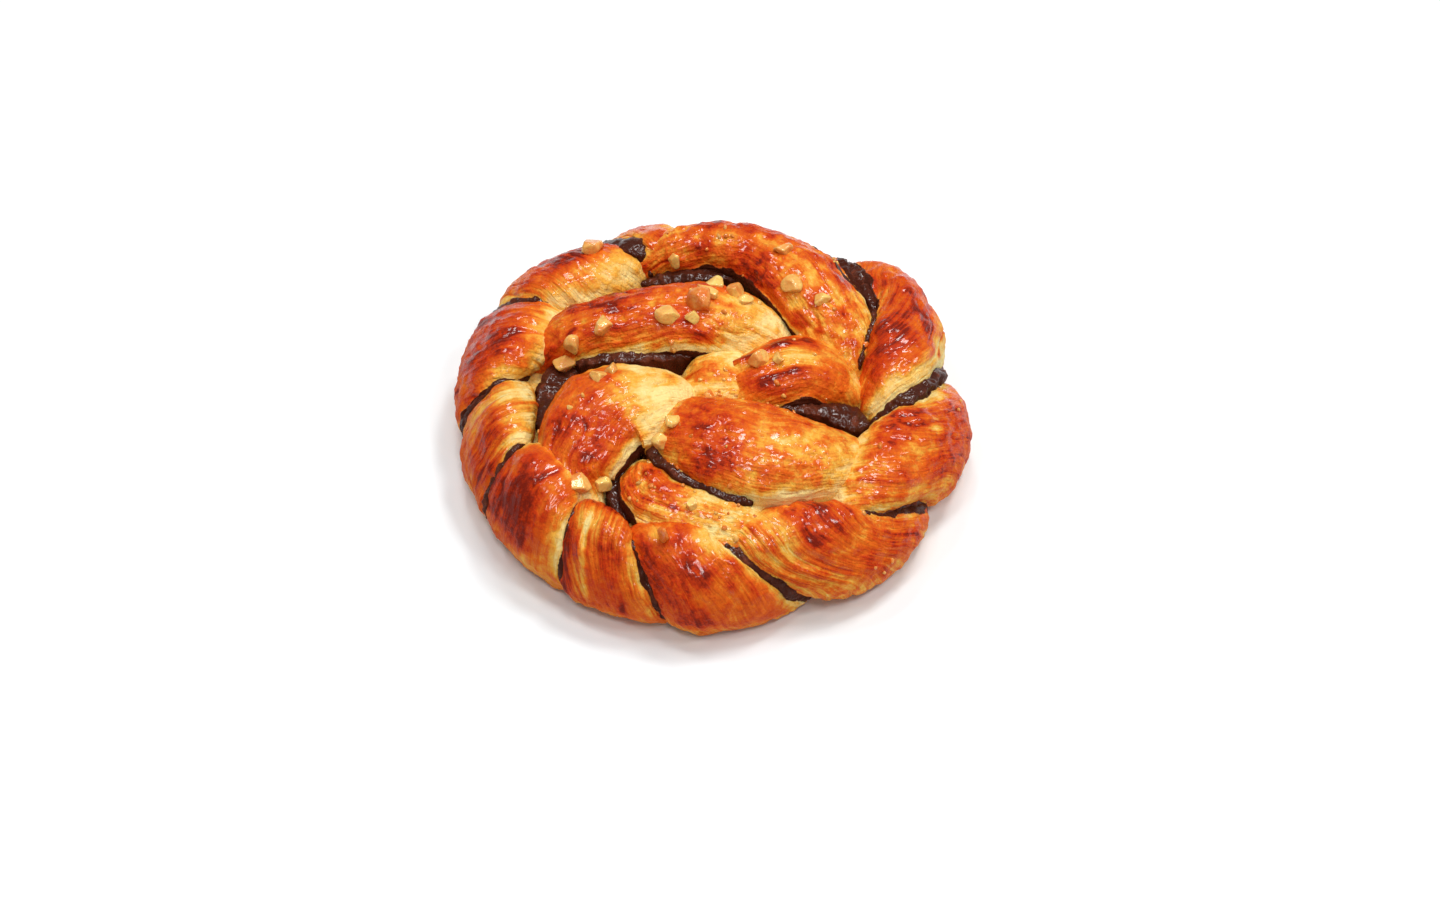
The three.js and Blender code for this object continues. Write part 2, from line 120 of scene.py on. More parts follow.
# Each outer lobe spans a groove and the next
RING_LOBES = {
    "b": Lobe((3.8, 5.6, 6.4, 4), (2, 4), .5, .7, .4, [(.2, .1, .14, 2, -.45), (.47, -.3, .13, .8, .4),
        (.36, .3, .08, .5, .1), (.4, .85, .15, .25, .1), (.7, 0, .12, 2, -.1)], [(-1, .2, .8, 2.6),
        (1, .1, .85, 1.6)]),
    "c": Lobe((4, 5.6, 6, 3.8), (3, 2), .5, .5, .35, [(.16, 0, .13, 2, -.45), (.52, 0, .22, 1, .36),
        (.36, .85, .12, .3, -.3), (.45, -.7, .15, .4, .1), (.9, 0, .1, 2, .1)], [(-1, .1, .9, 2.4),
        (1, .2, .95, 2.4)]),
    "d": Lobe((3.4, 4.8, 3.4, 2.4), (2, 4), .6, 1, .35, [(.25, -.3, .1, 1.2, -.45), (.5, .5, .14, .5, .35),
        (.35, .85, .12, .3, -.3), (.45, -.4, .15, .4, -.15)], [(-1, .15, .95, 2), (1, .2, .95, 1.4)]),
    "e": Lobe((4.4, 6.2, 3.6, 2.6), (1.5, 3), .65, .45, .3, [(.2, 0, .1, 2, -.4), (.5, -.2, .16, .6, .35),
        (.45, .9, .25, .25, -.45), (.78, .3, .1, .6, -.25), (.5, -.98, .3, .1, -.3)], [(-1, .15, .95, 1.6),
        (1, .25, .95, 1.1)]),
    "f": Lobe((3.4, 4.5, 4, 2.6), (2, 3), .68, 1, .25, [(.33, .1, .07, .8, -.4), (.5, -.35, .2, .08, -.4),
        (.55, .72, .22, .14, -.3), (.6, .2, .25, .3, .15), (.45, -.75, .15, .2, .15)], [(-1, .2, .9, 1.1),
        (1, .2, .95, 2)]),
    "g": Lobe((3.8, 5.4, 7.2, 5), (1.5, 6), .68, .5, .45, [(.45, -.75, .2, .25, .2),
        (.34, .45, .07, .35, -.45), (.41, .15, .05, .12, -.3), (.47, -.05, .08, .2, .15),
        (.68, -.3, .08, .3, .2), (.6, .85, .25, .25, -.3), (.93, 0, .07, 1.5, -.5), (.3, -.5, .04, .5, -.25)],
        [(1, .35, .9, 4.6), (-1, .15, .95, 1.7)]),
    "h": Lobe((4.2, 6, 10.8, 7.6), (7, 2), .62, .8, .6, [(.22, .25, .12, .5, .14),
        (.28, -.35, .12, .35, -.25), (.37, .02, .03, .12, .35), (.56, -.15, .12, .35, .1),
        (.5, -.8, .5, .3, -.12), (.85, 0, .12, 1.5, -.2), (.45, .85, .3, .2, -.2), (.06, 0, .08, 1.5, -.3)],
        [(-1, .3, .95, 4), (1, .33, .95, 4.6)]),
    "i": Lobe((4.4, 6.4, 11, 7.4), (4, 4), .64, .5, .7, [(.1, 0, .15, 1.5, -.5), (.34, .2, .1, .4, .18),
        (.42, .1, .06, .4, -.2), (.55, 0, .12, .5, .08), (.45, -.8, .4, .25, -.2), (.45, .85, .35, .25, -.3),
        (.92, 0, .1, 1.5, -.2)], [(1, .15, .9, 3.4), (-1, .35, .9, 3)]),
    "j": Lobe((4, 7.2, 11, 7.6), (7, 2), .66, .9, .3, [(.32, .1, .16, .4, .15), (.45, .5, .15, .4, .1),
        (.3, -.65, .35, .28, -.5), (.36, -.8, .12, .06, .35), (.2, .85, .3, .2, -.25),
        (.05, 0, .06, 1.5, -.3), (.5, -.1, .05, .2, .2), (.8, -.6, .3, .5, -.4)], [(-1, .3, .85, 3.4),
        (1, .02, .75, 2.4)]),
    "r": Lobe((3, 3.4, 2, 1.8), (3, 3), .55, .4, .3, [], [(-1, .05, .9, 5), (1, .2, .8, 1)]),
    "s": Lobe((3, 4, 3.6, 2.8), (2, 3), .6, .4, .3, [], [(-1, .2, .8, 1), (1, .2, .8, 1)]),
    "a": Lobe((3.6, 5.5, 4.6, 3), (2, 2.5), .5, .7, .4, [(.4, 0, .4, .3, .15), (.5, .6, .3, .15, -.2),
        (.5, -.5, .3, .15, -.2)], [(1, .1, .8, 2), (-1, .2, .8, 1)]),
}

# Each inner lobe has its own centre line and one puff
INNER_LOBES = {
    "k": Lobe(7, (2, 2), .6, .35, .8, [(.15, 0, .08, 1.5, -.15), (.32, -.2, .05, .3, .15),
        (.3, .5, .05, .3, .12), (.4, .3, .05, .5, -.2), (.5, 0, .06, .5, .1), (.56, .6, .07, .3, .2),
        (.86, 0, .12, 1.5, -.15), (.7, -.9, .3, .2, -.25)], [(1, .1, .8, 2.2), (-1, .45, .97, 3.6)],
        (.15, .2), ((-21, 38, 12), (-10, 40.6, 18.5), (.5, 40.8, 21), (10.8, 36.3, 23), (20.6, 26.6, 24),
        (29, 14.6, 20.6), (33.6, 2.6, 13.5)), (5, 5.6, 6.8, 8, 9.8, 8.6, 4.4)),
    "l": Lobe(7, (2, 2), .58, .4, .7, [(.38, -.25, .12, .4, .22), (.12, 0, .08, 1.5, .12),
        (.5, .6, .25, .2, -.15), (.5, .95, .45, .2, -.6), (.8, 0, .08, 1, -.25), (.97, 0, .12, 1.5, -.4)],
        [(-1, .3, .9, 1.4), (1, .25, .75, .8)], (.3, .3), ((-43, 10.6, 11), (-31, 14.8, 19.5),
        (-13, 16.8, 23), (2, 16.4, 23.5), (18.5, 13.4, 18)), (4.4, 7.6, 9.4, 9.5, 8)),
    "m": Lobe(6.5, (2, 2), .57, .4, .45, [(.12, 0, .18, 2, -.5), (.58, -.1, .16, .6, .22),
        (.35, .5, .12, .4, .1), (.68, -.9, .22, .22, -.55), (.5, .85, .2, .25, -.1), (.95, 0, .12, 1.5, -.4)],
        [(1, .25, .75, 1.4), (-1, .3, .8, 1.2)], (.3, .3), ((-4.5, -1.6, 20.6), (-15.2, -7.4, 23.2),
        (-23.6, -11.6, 23.5), (-28.4, -19.4, 21.5), (-31, -27, 17), (-26.2, -38.5, 9)),
        (9, 11.8, 12.8, 10.6, 8.8, 6.5)),
    "q": Lobe(5, (2, 2), .52, .9, 1, [(.35, 0, .15, .8, .15), (.62, .2, .2, .9, -.12),
        (.85, 0, .2, 1.5, -.18), (.5, .4, .08, .3, .15)], [(-1, .15, .85, 3.4), (1, .05, .4, 1.6)], (.18, .3),
        ((-12.2, -21, 16), (-12.6, -28.4, 18), (-6, -34.4, 19), (5, -37.4, 18.2), (16.5, -40.6, 14.6)),
        (6.4, 8.6, 9.8, 9.6, 7.4)),
    "p": Lobe(8, (2, 2), .58, .4, .7, [(.2, -.4, .09, .3, .2), (.24, .15, .14, .3, .18),
        (.34, .5, .07, .3, .24), (.5, -.3, .12, .5, -.1), (.75, 0, .2, .8, -.15), (.65, -.95, .4, .15, -.35),
        (.75, .95, .3, .2, -.4), (.97, 0, .1, 1.5, -.3), (.1, 0, .08, 1.5, -.1)], [(-1, .35, .97, 2.6),
        (1, .04, .42, .8)], (.14, .26), ((-10.5, -12, 18.6), (-.6, -18.4, 22.6), (10.5, -23, 22.8),
        (22.5, -22, 19.6), (35, -16.4, 13)), (8.4, 11.8, 13.2, 10.8, 5.6)),
    "o": Lobe(6, (3, 3), .54, 1.2, .4, [(.47, -.5, .1, .35, .2), (.6, -.5, .03, .15, .35),
        (.7, -.8, .12, .2, -.1), (.55, 0, .1, .2, -.3), (.3, .25, .12, .35, .15), (.92, 0, .1, 1.5, -.2)],
        [(1, .3, .95, 1.8)], (.3, .3), ((1, -1.5, 17), (12, .8, 21.5), (22.5, 2.2, 21.6), (34, -1.2, 13.5)),
        (7, 9, 8.8, 4)),
    "n": Lobe(4, (1, 1), .28, .4, .8, [(.4, .1, .2, .5, .2)], [], (.35, .35), ((-7.5, 1.5, 17), (1, 1, 21.6),
        (11, 2.6, 20)), (7, 8, 7.5)),
}

# Fins of filling between the inner lobes: top edge and width along it
INNER_FINS = [
    (((-17.5, 34, 17.9), (-10.6, 34, 20.4), (-3, 33.6, 21.9), (4, 32.2, 22.9), (10.5, 28, 22.9),
      (16.5, 22.4, 22.4), (21.5, 15.5, 20.9)), (2.6, 3.8, 4.2, 4, 3.6, 3.2, 2.6)),
    (((-31.5, 8.6, 20.4), (-26.5, 7.8, 22.4), (-21.3, 7, 23.2), (-13.3, 6.8, 23.8), (-5, 6.6, 23)),
     (4.6, 5, 4.6, 3.8, 1.2)),
    (((-30.5, 8.6, 18.5), (-35.2, 5, 18.3), (-36.6, -1.5, 18.5), (-36.6, -8, 17.9), (-35.4, -14.5, 16.5)),
     (5, 7.6, 7.6, 6.6, 3.8)),
    (((-13.5, -14, 22.4), (-17.4, -18, 21.9), (-20.8, -23.4, 20.4), (-21.8, -29, 18.4), (-19, -35.5, 15.9)),
     (3, 4, 4.2, 4, 3)),
    (((-15, -18, 22.8), (-10.5, -24.6, 24.2), (-3, -30, 25), (3, -33.6, 24.8), (8.4, -36.4, 23.4)),
     (3, 5.2, 5.6, 4.8, 2.4)),
    (((4, -7.6, 22.2), (14, -8, 22.8), (22.8, -8, 22.1), (29, -8.4, 20.8), (35, -9.6, 18.6)),
     (1.2, 2.2, 4.6, 7, 5)),
    (((37, 20.5, 23.8), (36.6, 16.8, 24.3), (35.9, 13.6, 24.8), (34.9, 10.5, 24.9), (33.8, 7.5, 24),
      (33, 4.5, 22.1)), (2.6, 1.8, 1.3, 1.1, 1, .8)),
]

# Profile of the soft inside of the coil, from the middle of the underside up to the middle of the top
CORE_PROFILE = ((0, 0), (20, 0), (40, 0), (49, 0), (50, .6), (50, 3), (49, 9), (47.5, 14), (44.5, 15.6),
                (36, 13.6), (28, 15.6), (14, 17), (0, 17.6))

# Chopped nuts: x, y, z, length, width, height, turn in degrees, roast from pale 0 to dark 1
NUTS = [
    (-28.3, 39.1, 24.4, 4.4, 3.8, 3.6, 20, .55),
    (-8.9, 36.4, 23.1, 4, 3.2, 3, 70, .4),
    (-2.8, 16.4, 30.9, 5, 6, 5.2, 10, .8),
    (-1.2, 18.6, 31.6, 5, 2, 2.4, 150, .35),
    (.4, 22.9, 29.3, 4.4, 3.6, 2.6, 120, .3),
    (5, 20.8, 29.3, 3.6, 3.2, 3.2, 45, .5),
    (-10.2, 12.4, 30.4, 5, 3.8, 3.2, 160, .3),
    (-4.8, 11.6, 30.5, 2.8, 2.6, 2.6, 30, .35),
    (-25.2, 11.9, 27.5, 4.6, 3.8, 2.6, 80, .6),
    (16, 32.1, 31.1, 3.8, 3.4, 3.2, 15, .6),
    (17.9, 22.2, 29.9, 4.6, 4, 2.4, 100, .4),
    (24.6, 18.3, 29.1, 3.8, 3.2, 2.6, 60, .45),
    (-31.8, 8.9, 24.2, 3.2, 3.4, 4.4, 140, .35),
    (-33.9, 7.6, 19.2, 4.6, 4.2, 4.4, 65, .4),
    (10.5, 1, 27.8, 4.2, 3.6, 3.8, 40, .65),
    (14.5, .8, 28.5, 2.8, 2.6, 2.4, 90, .3),
    (-11.6, -21.4, 26.3, 3.4, 3, 3, 30, .4),
    (-29.1, -30.4, 21.9, 5, 4.4, 4.4, 25, .6),
    (-24.4, -28.6, 19.9, 3.2, 3.2, 4, 70, .1),
    (-10.8, -46.1, 24, 2.4, 2.2, 5.4, 5, 1),
    (-9.4, -17.6, 29, 3.8, 3, 2.2, 50, .3),
    (-25.6, -5.2, 29.2, 3.6, 3, 2.4, 20, .55),
    (-22.6, -2.8, 28.9, 3.4, 2.8, 2.6, 110, .6),
    (-.7, -6.6, 23.8, 3.2, 2.6, 2.2, 75, .8),
    (7.6, 18.4, 29, 3.4, 2.6, 2.2, 20, .4),
    (-4.7, -37.6, 24.4, 2.8, 2.4, 2.2, 15, .4),
    (2, 53.4, 10, 4, 3, 3.6, 15, .5),
]

# Lobes that carry crumbs, and how many
CRUMBS = {"inner_lobe_k": 14, "inner_lobe_l": 10, "inner_lobe_m": 4, "inner_lobe_n": 7, "inner_lobe_q": 22,
          "inner_lobe_p": 12, "inner_lobe_o": 6, "outer_lobe_h": 4, "outer_lobe_i": 3}


def srgb(red, green, blue):
    """Linear colour of a screen colour given from 0 to 255, by the standard curve."""
    return tuple(c / 12.92 if c <= 0.04045 else ((c + 0.055) / 1.055) ** 2.4
                 for c in (red / 255, green / 255, blue / 255))


def length(name, description, default):
    """A size in metres for the sidebar."""
    return bpy.props.FloatProperty(name=name, description=description, default=default, min=0.0,
                                   precision=5, unit="LENGTH")


def colour(name, description, default):
    """A colour for the sidebar."""
    return bpy.props.FloatVectorProperty(name=name, description=description, default=default, size=3,
                                         min=0.0, max=1.0, subtype="COLOR")


class BunSizes(bpy.types.PropertyGroup):
    """Sizes of the relief on the crust."""

    lump_height: length("Lumps", "Height of the broad lumps of a lobe", 0.0007)
    pucker_height: length("Puckers", "Height of the small uneven places of the skin", 0.00048)
    wrinkle_height: length("Wrinkles", "Height of the fine wrinkles along the dough's run", 0.0002)
    pebble_height: length("Pebbles", "Height of the pebbled skin of the glaze", 0.00018)
    crease_depth: length("Creases", "Depth of the creases along the dough's run", 0.0004)
    layer_height: length("Layer", "Thickness of one dough layer at a cut edge", 0.0013)
    layer_depth: length("Layer step", "Step from one dough layer to the next at a cut edge", 0.00034)
    pleat_depth: length("Pleats", "Depth of the folds that run along a lobe", 0.00055)
    blister_height: length("Blisters", "Height of the blisters on the glazed crust", 0.00018)
    cell: length("Mesh cell", "Size of a mesh cell on the crust", 0.0003)


class BunColours(bpy.types.PropertyGroup):
    """Colours of the crust, the filling and the nuts."""

    crumb: colour("Crumb", "Unbrowned dough in the valleys", srgb(250, 222, 146))
    golden: colour("Golden", "Lightly browned dough", srgb(242, 176, 66))
    orange: colour("Orange", "Browned crust", srgb(229, 106, 24))
    red_brown: colour("Red-brown", "Well browned crust", srgb(200, 56, 12))
    dark: colour("Dark", "Darkest spots of the crust", srgb(126, 28, 8))
    chocolate: colour("Chocolate", "Baked chocolate filling", srgb(72, 29, 15))
    chocolate_dry: colour("Dry chocolate", "Crumbly parts of the filling", srgb(122, 60, 40))
    nut_pale: colour("Pale nut", "Cut face of a nut", srgb(255, 216, 120))
    nut_roast: colour("Roast nut", "Roasted face of a nut", srgb(222, 112, 34))


# Numbers on a grid

def unit(vectors):
    """Each vector over its own length."""
    return vectors / np.maximum(np.linalg.norm(vectors, axis=-1, keepdims=True), 1e-9)


def curve(points, v):
    """Catmull-Rom curve at equal steps of v between its points, its ends carried on straight."""
    points = np.asarray(points, float)
    padded = np.concatenate([[2 * points[0] - points[1]], points, [2 * points[-1] - points[-2]]])
    s = np.clip(v, 0, 1) * (len(points) - 1)
    i = np.minimum(s.astype(int), len(points) - 2)
    f = (s - i)[:, None]
    before, start, end, after = padded[i], padded[i + 1], padded[i + 2], padded[i + 3]
    return 0.5 * (2 * start + (end - before) * f + (2 * before - 5 * start + 4 * end - after) * f ** 2
                  + (3 * start - 3 * end - before + after) * f ** 3)


def along(values, v):
    """The same curve through single values."""
    return curve(np.asarray(values, float)[:, None], v)[:, 0]


def direction(line, v):
    """Direction of a curve, from two nearby points of it."""
    return unit(line(np.minimum(v + 0.02, 1)) - line(np.maximum(v - 0.02, 0)))


def polar(bearing, radius, height):
    """Points at a bearing in degrees and a radius round the bun's axis."""
    a = np.radians(bearing)
    return np.stack([radius * np.cos(a), radius * np.sin(a), np.broadcast_to(height, np.shape(a))], -1)


def smooth(low, high, x):
    """Cubic step from 0 at low to 1 at high."""
    f = np.clip((x - low) / (high - low), 0, 1)
    return f * f * (3 - 2 * f)


def hashed(cells, seed):
    """A number from 0 to 1 for each cell of a cubic lattice, by multiplying and mixing its three counts."""
    x, y, z = (cells[..., k].astype(np.int64).astype(np.uint64) for k in range(3))
    h = (x * np.uint64(73856093)) ^ (y * np.uint64(19349663)) ^ (z * np.uint64(83492791))
    h = (h ^ np.uint64(seed * 7919 + 17)) * np.uint64(0x9E3779B97F4A7C15)
    h = (h ^ (h >> np.uint64(31))) * np.uint64(0xBF58476D1CE4E5B9)
    return ((h >> np.uint64(40)) & np.uint64(0xFFFFFF)) / float(0xFFFFFF)


def noise(points, size, seed, octaves=1):
    """Random numbers from -1 to 1 on a lattice of that cell size, joined by cubic steps, each octave with
    half the cells and half the strength of the last."""
    total = reach = 0.0
    for octave in range(octaves):
        p = points / np.asarray(size, float) * 2 ** octave + LATTICE_SHIFT
        cell = np.floor(p)
        f = p - cell
        f = f * f * (3 - 2 * f)
        value = 0.0
        for corner in np.ndindex(2, 2, 2):
            c = np.array(corner)
            weight = np.prod(np.where(c == 1, f, 1 - f), axis=-1)
            value = value + weight * hashed(cell + c, seed + 31 * octave)
        total = total + (2 * value - 1) * 0.5 ** octave
        reach += 0.5 ** octave
    return total / reach


def blisters(points, size, seed):
    """Domes round one random point in each lattice cell: 1 less the squared distance over the squared
    radius, not under 0."""
    p = points / size + LATTICE_SHIFT
    cell = np.floor(p)
    nearest = np.full(p.shape[:-1], 9.0)
    for step in np.ndindex(3, 3, 3):
        c = cell + np.array(step) - 1
        place = c + np.stack([hashed(c, seed + k) for k in range(3)], -1)
        nearest = np.minimum(nearest, np.sum((p - place) ** 2, -1))
    return np.maximum(0, 1 - nearest / BLISTER_REACH)


def normals(grid):
    """Unit normals of a grid of points whose columns close, turned away from each row's middle."""
    rows = np.gradient(grid, axis=0)
    columns = np.roll(grid, -1, 1) - np.roll(grid, 1, 1)
    found = unit(np.cross(rows, columns))
    outward = np.sum(found * (grid - grid.mean(1, keepdims=True)))
    return found if outward > 0 else -found


# Meshes

def tube_faces(rows, columns):
    """Quads between the rows of a closed tube, and fans to a point at either end, which follow the grid's."""
    index = np.arange(rows * columns).reshape(rows, columns)
    a, b = index[:-1], index[1:]
    quads = np.stack([a, np.roll(a, -1, 1), np.roll(b, -1, 1), b], -1).reshape(-1, 4)
    first, last = rows * columns, rows * columns + 1
    start = np.stack([np.full(columns, first), np.roll(index[0], -1), index[0]], -1)
    end = np.stack([np.full(columns, last), index[-1], np.roll(index[-1], -1)], -1)
    return quads, np.concatenate([start, end])


def closed_tube(grid, fields):
    """Points, faces and fields of a tube whose ends close in a point at the middle of their row."""
    rows, columns = grid.shape[:2]

    def capped(field):
        flat = field.reshape(rows * columns, -1)
        return np.concatenate([flat, [flat[:columns].mean(0)], [flat[-columns:].mean(0)]])

    points = capped(grid)
    quads, fans = tube_faces(rows, columns)
    values = {name: capped(field) for name, field in fields.items()}
    corner = points[quads[:, 0]]
    volume = np.sum(corner * np.cross(points[quads[:, 1]] - corner, points[quads[:, 3]] - corner))
    if volume < 0:
        quads, fans = quads[:, ::-1], fans[:, ::-1]
    return points, quads, fans, values


def joined(parts):
    """One set of points, faces and fields from several."""
    points, quads, fans, values = zip(*parts)
    starts = np.cumsum([0] + [len(each) for each in points[:-1]])
    moved = lambda faces: np.concatenate([each + start for each, start in zip(faces, starts)])
    return (np.concatenate(points), moved(quads), moved(fans),
            {name: np.concatenate([each[name] for each in values]) for name in values[0]})


def placed(name, data):
    """A new object in the scene."""
    made = bpy.data.objects.new(name, data)
    bpy.context.scene.collection.objects.link(made)
    return made


def piece(name, part, material, node):
    """A smooth mesh object from points in mm and faces, with its fields as attributes, riding on the bun."""
    points, quads, fans, values = part
    mesh = bpy.data.meshes.new(name)
    mesh.from_pydata(((points - CENTRE) * MM).tolist(), [], quads.tolist() + fans.tolist())
    for field, numbers in values.items():
        kind, key = ("FLOAT_VECTOR", "vector") if numbers.shape[1] == 3 else ("FLOAT", "value")
        mesh.attributes.new(field, kind, "POINT").data.foreach_set(key, numbers.ravel())
    mesh.shade_smooth()
    mesh.materials.append(material)
    made = placed(name, mesh)
    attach(made, "root")
    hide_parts(node)
    return made


# Crust

def groove_points(groove, turn=0):
    """The four places of a groove."""
    bearing, radius, height = groove[:3]
    return polar(np.array(bearing, float) + turn, np.array(radius, float), np.array(height, float))


def end_taper(v, ends):
    """Factor that rounds off both ends of a lobe like quarter circles."""
    start = np.maximum(0, 1 - v / ends[0])
    finish = np.maximum(0, 1 - (1 - v) / ends[1])
    return np.sqrt(np.maximum(1 - start ** 2, 0)) * np.sqrt(np.maximum(1 - finish ** 2, 0))


def ring_spine(order, shape, v):
    """Middle, half across, outward direction, puff and depth of an outer lobe: it spans two neighbouring
    grooves, and its outward direction is square to its run, away from the rope's centre line."""
    following = (order + 1) % len(GROOVES)
    a = groove_points(GROOVES[order])
    b = groove_points(GROOVES[following], 360 if following == 0 else 0)
    middle = lambda w: (curve(a, w) + curve(b, w)) / 2
    across = (curve(b, v) - curve(a, v)) * 0.5 * LOBE_OVERLAP
    outwards = unit(np.cross(across, direction(middle, v)))
    centre = middle(v)
    core = polar(np.degrees(np.arctan2(centre[:, 1], centre[:, 0])), CORE_RADIUS, CORE_HEIGHT)
    away = np.sum(outwards * (centre - core), -1, keepdims=True)
    return centre, across, np.where(away < 0, -outwards, outwards), along(shape.puff, v), RING_DEPTH


def inner_spine(shape, v):
    """The same of an inner lobe: along its own centre line, level across."""
    middle = lambda w: curve(shape.path, w)
    forward = direction(middle, v)
    side = unit(np.cross(forward, (0, 0, 1)))
    half = along(shape.half, v)[:, None]
    return middle(v), side * half, unit(np.cross(side, forward)), np.full(len(v), shape.puff), INNER_DEPTH


def section(spine, ends, v, top, under):
    """A lobe without relief: at each place along it a superellipse section, cosine to the power 2 / 2.2
    across and sine upwards, flatter below, its size a quarter circle's at both ends."""
    t = np.concatenate([np.pi * np.arange(top) / top, np.pi * (1 + np.arange(under) / under)])
    middle, across, outwards, puff, depth = spine(v)
    taper = end_taper(v, ends)
    x = np.sign(np.cos(t)) * np.abs(np.cos(t)) ** (2 / SECTION_POWER)
    y = np.sin(t)
    reach = np.where(y > 0, puff[:, None], depth) * y * taper[:, None]
    return (middle[:, None] + across[:, None] * (x * taper[:, None])[..., None]
            + outwards[:, None] * reach[..., None])


def lobes():
    """Name, line, shape and seed of every lobe."""
    outer = [("outer_lobe_" + name, partial(ring_spine, order, shape), shape, 20 * order + 1)
             for order, (name, shape) in enumerate(RING_LOBES.items())]
    return outer + [("inner_lobe_" + name, partial(inner_spine, shape), shape, 20 * order + 301)
                    for order, (name, shape) in enumerate(INNER_LOBES.items())]


def surroundings():
    """Two maps of the bun in squares of 1 mm: the height of its top, and the mean of that over 11 squares
    each way, which tells a crown from a valley."""
    heights = np.zeros((MAP_SIZE, MAP_SIZE))
    for _, spine, shape, _ in lobes():
        grid = section(spine, shape.ends, np.linspace(0.01, 0.99, 140), 60, 4)
        x, y = (np.round(grid[..., k]).astype(int) + MAP_SIZE // 2 for k in range(2))
        np.maximum.at(heights, (x, y), grid[..., 2])
    mean = heights
    for axis in (0, 1):
        mean = sum(np.roll(mean, step, axis) for step in range(-MAP_SPREAD, MAP_SPREAD + 1))
        mean = mean / (2 * MAP_SPREAD + 1)
    return heights, mean


def looked_up(table, points):
    """Values of a map at points, between its four nearest squares."""
    p = np.clip(points[..., :2] + MAP_SIZE // 2, 0, MAP_SIZE - 1.001)
    x, y = np.moveaxis(p.astype(int), -1, 0)
    f, g = p[..., 0] - x, p[..., 1] - y
    near = table[x, y] * (1 - g) + table[x, y + 1] * g
    far = table[x + 1, y] * (1 - g) + table[x + 1, y + 1] * g
    return near * (1 - f) + far * f


def distances(grid, top, under):
    """Distances in mm over a lobe's upper surface from the next and the previous groove, and their sum."""
    gaps = np.linalg.norm(np.diff(grid[:, :top + 1], axis=1), axis=-1)
    from_b = np.concatenate([np.zeros((len(grid), 1)), np.cumsum(gaps, 1)], 1)
    total = from_b[:, -1:]
    late = np.repeat(total, under - 1, 1)
    late[:, under // 2:] = 0
    from_b = np.concatenate([from_b, late], 1)
    return from_b, total - from_b, total


